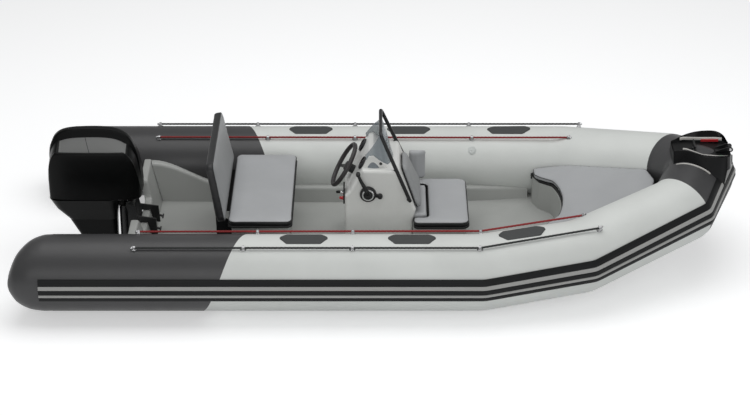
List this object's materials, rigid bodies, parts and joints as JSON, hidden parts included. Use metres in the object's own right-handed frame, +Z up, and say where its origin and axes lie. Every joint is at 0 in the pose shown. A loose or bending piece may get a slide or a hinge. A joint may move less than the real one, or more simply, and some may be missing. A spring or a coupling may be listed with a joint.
{
  "type": "rigid inflatable boat",
  "caption": "Open rigid inflatable boat with a V hull, air tubes, helm console with windscreen, cushioned bench and bow locker, and a tilting outboard engine.",
  "frame": {"origin": "on the waterline, on the centreline, near amidships", "axes": "+X to the bow, +Y to port, +Z up"},
  "size_m": [5.368, 2.5126, 1.714],
  "materials": {
    "tube_light": "satin coated fabric",
    "tube_dark": "satin coated fabric",
    "strake": "satin moulded rubber",
    "stripe": "satin moulded rubber",
    "patch": "ribbed rubber",
    "rope_red": "braided",
    "rope_black": "braided",
    "gelcoat": "gloss gelcoat",
    "sole": "moulded non-slip gelcoat",
    "cushion": "matt marine vinyl",
    "board": "matt",
    "black_plastic": "satin",
    "black_metal": "satin powder coat",
    "engine_black": "gloss paint",
    "steel": "polished",
    "valve_white": "satin",
    "screen": "tinted acrylic",
    "red_lens": "clear lens",
    "green_lens": "clear lens"
  },
  "bodies": {
    "hull": {"tube_main_port": "tube_light", "tube_main_starboard": "tube_light", "tube_aft_port": "tube_dark", "tube_aft_starboard": "tube_dark", "tube_bow": "tube_dark", "stern_cone_port": "tube_dark", "stern_cone_starboard": "tube_dark", "rub_strake": "strake", "rub_stripes": "stripe", "wear_patches": "patch", "lifeline_outer": "rope_black", "lifeline_inner": "rope_red", "hull_shell": "gelcoat", "cockpit_sole": "sole", "side_liner_port": "gelcoat", "side_liner_starboard": "gelcoat", "transom": "gelcoat", "bow_locker": "gelcoat", "bench_base": "gelcoat", "bench_backrest": "cushion", "backrest_brackets": "black_metal", "console": "gelcoat", "gauges": "black_plastic", "windscreen": "screen", "grab_rail": "black_metal", "switch_panel": "black_plastic", "throttle": "black_plastic", "helm_bezel": "black_plastic", "console_seat_base": "gelcoat", "console_backrest": "cushion", "bow_step": "black_plastic", "bow_step_rails": "steel", "nav_light_port": "red_lens", "nav_light_starboard": "green_lens", "bow_roller": "steel", "bow_cleat": "steel", "bow_eye": "steel", "stern_eyes": "steel", "valves": "valve_white", "clamp_brackets": "black_metal"},
    "outboard_swivel": {"swivel_bracket": "black_metal"},
    "outboard_engine": {"engine_cowl": "engine_black", "engine_leg": "engine_black", "gearcase": "engine_black"},
    "propeller": {"propeller": "black_metal"},
    "steering_wheel": {"steering_wheel": "black_plastic"},
    "bench_lid": {"bench_lid_board": "board", "bench_cushion": "cushion"},
    "console_seat_lid": {"console_seat_lid_board": "board", "console_seat_cushion": "cushion", "seat_side_rest": "cushion"},
    "bow_lid": {"bow_lid_board": "board", "bow_cushion": "cushion"}
  },
  "joints": [
    {"name": "outboard_tilt", "type": "hinge", "parent": "hull", "child": "outboard_swivel", "pos_m": [-1.89, 0, 0.44], "axis": [0, 1, 0], "range_deg": [0, 65]},
    {"name": "outboard_steer", "type": "hinge", "parent": "outboard_swivel", "child": "outboard_engine", "pos_m": [-1.95, 0, 0.23], "axis": [0, 0, 1], "range_deg": [-30, 30]},
    {"name": "propeller_spin", "type": "hinge", "parent": "outboard_engine", "child": "propeller", "pos_m": [-2.396, 0, -0.44], "axis": [1, 0, 0], "continuous": true},
    {"name": "wheel_turn", "type": "hinge", "parent": "hull", "child": "steering_wheel", "pos_m": [-0.258, 0, 0.73], "axis": [0.866, 0, -0.5], "range_deg": [-720, 720]},
    {"name": "bench_lid_hinge", "type": "hinge", "parent": "hull", "child": "bench_lid", "pos_m": [-0.667, 0, 0.478], "axis": [0, 1, 0], "range_deg": [0, 80]},
    {"name": "seat_lid_hinge", "type": "hinge", "parent": "hull", "child": "console_seat_lid", "pos_m": [0.68, 0, 0.366], "axis": [0, 1, 0], "range_deg": [0, 80]},
    {"name": "bow_lid_hinge", "type": "hinge", "parent": "hull", "child": "bow_lid", "pos_m": [1.214, 0, 0.358], "axis": [0, -1, 0], "range_deg": [0, 60]}
  ],
  "couplings": [
    {"joint": "wheel_turn", "follows": "outboard_steer", "ratio": 24}
  ]
}
